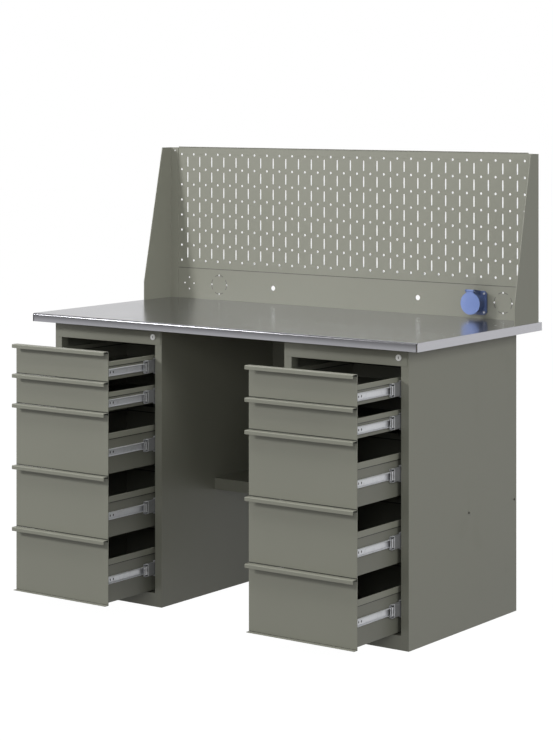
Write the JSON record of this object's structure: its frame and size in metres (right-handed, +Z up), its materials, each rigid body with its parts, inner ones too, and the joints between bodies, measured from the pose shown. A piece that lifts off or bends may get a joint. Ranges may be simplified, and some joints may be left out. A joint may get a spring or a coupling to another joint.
{
  "type": "workbench with pegboard",
  "caption": "Workbench with two drawer pedestals, a steel-clad worktop, a knee space with shelf and a perforated upright screen with a lidded socket.",
  "frame": {"origin": "on the floor, at the middle of the bench's box with its drawers pulled out as they rest", "axes": "+Z up, +X to the right of someone working at the bench, +Y to its back"},
  "size_m": [1.4, 0.869, 1.35],
  "materials": {
    "paint": "fine-textured powder coat, grey green",
    "worktop_steel": "brushed sheet",
    "board": "raw particle board",
    "zinc": "bright zinc plate",
    "lock_chrome": "polished",
    "socket_body_plastic": "smooth dark blue",
    "socket_lid_plastic": "smooth light blue"
  },
  "bodies": {
    "bench": {"worktop_board": "board", "worktop_cover": "worktop_steel", "cabinet_bases": "paint", "cabinet_heads": "paint", "screen_brackets": "paint", "perforated_panel": "paint", "cable_panel": "paint", "shelf": "paint", "knee_back_panel": "paint", "lock_barrels": "lock_chrome", "cabinet_rails": "zinc", "socket_body": "socket_body_plastic", "fixings": "zinc", "left_cabinet_shell": "paint", "right_cabinet_shell": "paint"},
    "left_drawer_1": {"left_drawer_1_front": "paint", "left_drawer_1_box": "paint", "left_drawer_1_runners": "zinc"},
    "left_drawer_1_middle_slides": {"left_drawer_1_slides": "zinc"},
    "left_drawer_2": {"left_drawer_2_front": "paint", "left_drawer_2_box": "paint", "left_drawer_2_runners": "zinc"},
    "left_drawer_2_middle_slides": {"left_drawer_2_slides": "zinc"},
    "left_drawer_3": {"left_drawer_3_front": "paint", "left_drawer_3_box": "paint", "left_drawer_3_runners": "zinc"},
    "left_drawer_3_middle_slides": {"left_drawer_3_slides": "zinc"},
    "left_drawer_4": {"left_drawer_4_front": "paint", "left_drawer_4_box": "paint", "left_drawer_4_runners": "zinc"},
    "left_drawer_4_middle_slides": {"left_drawer_4_slides": "zinc"},
    "left_drawer_5": {"left_drawer_5_front": "paint", "left_drawer_5_box": "paint", "left_drawer_5_runners": "zinc"},
    "left_drawer_5_middle_slides": {"left_drawer_5_slides": "zinc"},
    "left_lock_plug": {"left_lock_plug": "lock_chrome"},
    "left_lock_bar": {"left_lock_bar": "zinc"},
    "right_drawer_1": {"right_drawer_1_front": "paint", "right_drawer_1_box": "paint", "right_drawer_1_runners": "zinc"},
    "right_drawer_1_middle_slides": {"right_drawer_1_slides": "zinc"},
    "right_drawer_2": {"right_drawer_2_front": "paint", "right_drawer_2_box": "paint", "right_drawer_2_runners": "zinc"},
    "right_drawer_2_middle_slides": {"right_drawer_2_slides": "zinc"},
    "right_drawer_3": {"right_drawer_3_front": "paint", "right_drawer_3_box": "paint", "right_drawer_3_runners": "zinc"},
    "right_drawer_3_middle_slides": {"right_drawer_3_slides": "zinc"},
    "right_drawer_4": {"right_drawer_4_front": "paint", "right_drawer_4_box": "paint", "right_drawer_4_runners": "zinc"},
    "right_drawer_4_middle_slides": {"right_drawer_4_slides": "zinc"},
    "right_drawer_5": {"right_drawer_5_front": "paint", "right_drawer_5_box": "paint", "right_drawer_5_runners": "zinc"},
    "right_drawer_5_middle_slides": {"right_drawer_5_slides": "zinc"},
    "right_lock_plug": {"right_lock_plug": "lock_chrome"},
    "right_lock_bar": {"right_lock_bar": "zinc"},
    "socket_lid": {"socket_lid": "socket_lid_plastic"}
  },
  "joints": [
    {"name": "left_drawer_1_slide", "type": "slide", "parent": "bench", "child": "left_drawer_1", "axis": [0, -1, 0], "range_m": [-0.208, 0.292]},
    {"name": "left_drawer_1_middle_slide", "type": "slide", "parent": "bench", "child": "left_drawer_1_middle_slides", "axis": [0, -1, 0], "range_m": [-0.104, 0.146]},
    {"name": "left_drawer_2_slide", "type": "slide", "parent": "bench", "child": "left_drawer_2", "axis": [0, -1, 0], "range_m": [-0.208, 0.292]},
    {"name": "left_drawer_2_middle_slide", "type": "slide", "parent": "bench", "child": "left_drawer_2_middle_slides", "axis": [0, -1, 0], "range_m": [-0.104, 0.146]},
    {"name": "left_drawer_3_slide", "type": "slide", "parent": "bench", "child": "left_drawer_3", "axis": [0, -1, 0], "range_m": [-0.208, 0.292]},
    {"name": "left_drawer_3_middle_slide", "type": "slide", "parent": "bench", "child": "left_drawer_3_middle_slides", "axis": [0, -1, 0], "range_m": [-0.104, 0.146]},
    {"name": "left_drawer_4_slide", "type": "slide", "parent": "bench", "child": "left_drawer_4", "axis": [0, -1, 0], "range_m": [-0.208, 0.292]},
    {"name": "left_drawer_4_middle_slide", "type": "slide", "parent": "bench", "child": "left_drawer_4_middle_slides", "axis": [0, -1, 0], "range_m": [-0.104, 0.146]},
    {"name": "left_drawer_5_slide", "type": "slide", "parent": "bench", "child": "left_drawer_5", "axis": [0, -1, 0], "range_m": [-0.208, 0.292]},
    {"name": "left_drawer_5_middle_slide", "type": "slide", "parent": "bench", "child": "left_drawer_5_middle_slides", "axis": [0, -1, 0], "range_m": [-0.104, 0.146]},
    {"name": "left_lock_turn", "type": "hinge", "parent": "bench", "child": "left_lock_plug", "pos_m": [-0.257, -0.2065, 0.801], "axis": [0, -1, 0], "range_deg": [0, 90]},
    {"name": "left_lock_bar_slide", "type": "slide", "parent": "bench", "child": "left_lock_bar", "axis": [0, 0, 1], "range_m": [0, 0.01698]},
    {"name": "right_drawer_1_slide", "type": "slide", "parent": "bench", "child": "right_drawer_1", "axis": [0, -1, 0], "range_m": [-0.208, 0.292]},
    {"name": "right_drawer_1_middle_slide", "type": "slide", "parent": "bench", "child": "right_drawer_1_middle_slides", "axis": [0, -1, 0], "range_m": [-0.104, 0.146]},
    {"name": "right_drawer_2_slide", "type": "slide", "parent": "bench", "child": "right_drawer_2", "axis": [0, -1, 0], "range_m": [-0.208, 0.292]},
    {"name": "right_drawer_2_middle_slide", "type": "slide", "parent": "bench", "child": "right_drawer_2_middle_slides", "axis": [0, -1, 0], "range_m": [-0.104, 0.146]},
    {"name": "right_drawer_3_slide", "type": "slide", "parent": "bench", "child": "right_drawer_3", "axis": [0, -1, 0], "range_m": [-0.208, 0.292]},
    {"name": "right_drawer_3_middle_slide", "type": "slide", "parent": "bench", "child": "right_drawer_3_middle_slides", "axis": [0, -1, 0], "range_m": [-0.104, 0.146]},
    {"name": "right_drawer_4_slide", "type": "slide", "parent": "bench", "child": "right_drawer_4", "axis": [0, -1, 0], "range_m": [-0.208, 0.292]},
    {"name": "right_drawer_4_middle_slide", "type": "slide", "parent": "bench", "child": "right_drawer_4_middle_slides", "axis": [0, -1, 0], "range_m": [-0.104, 0.146]},
    {"name": "right_drawer_5_slide", "type": "slide", "parent": "bench", "child": "right_drawer_5", "axis": [0, -1, 0], "range_m": [-0.208, 0.292]},
    {"name": "right_drawer_5_middle_slide", "type": "slide", "parent": "bench", "child": "right_drawer_5_middle_slides", "axis": [0, -1, 0], "range_m": [-0.104, 0.146]},
    {"name": "right_lock_turn", "type": "hinge", "parent": "bench", "child": "right_lock_plug", "pos_m": [0.613, -0.2065, 0.801], "axis": [0, -1, 0], "range_deg": [0, 90]},
    {"name": "right_lock_bar_slide", "type": "slide", "parent": "bench", "child": "right_lock_bar", "axis": [0, 0, 1], "range_m": [0, 0.01698]},
    {"name": "socket_lid_hinge", "type": "hinge", "parent": "bench", "child": "socket_lid", "pos_m": [0.486, 0.3797, 0.935], "axis": [-1, 0, 0], "range_deg": [0, 110], "stiffness_Nm_per_rad": 0.004, "springref_deg": -34.38}
  ],
  "couplings": [
    {"joint": "left_drawer_1_middle_slide", "follows": "left_drawer_1_slide", "ratio": 0.5},
    {"joint": "left_drawer_2_middle_slide", "follows": "left_drawer_2_slide", "ratio": 0.5},
    {"joint": "left_drawer_3_middle_slide", "follows": "left_drawer_3_slide", "ratio": 0.5},
    {"joint": "left_drawer_4_middle_slide", "follows": "left_drawer_4_slide", "ratio": 0.5},
    {"joint": "left_drawer_5_middle_slide", "follows": "left_drawer_5_slide", "ratio": 0.5},
    {"joint": "left_lock_turn", "follows": "left_lock_bar_slide", "rad_per_m": 92.5},
    {"joint": "right_drawer_1_middle_slide", "follows": "right_drawer_1_slide", "ratio": 0.5},
    {"joint": "right_drawer_2_middle_slide", "follows": "right_drawer_2_slide", "ratio": 0.5},
    {"joint": "right_drawer_3_middle_slide", "follows": "right_drawer_3_slide", "ratio": 0.5},
    {"joint": "right_drawer_4_middle_slide", "follows": "right_drawer_4_slide", "ratio": 0.5},
    {"joint": "right_drawer_5_middle_slide", "follows": "right_drawer_5_slide", "ratio": 0.5},
    {"joint": "right_lock_turn", "follows": "right_lock_bar_slide", "rad_per_m": 92.5}
  ]
}
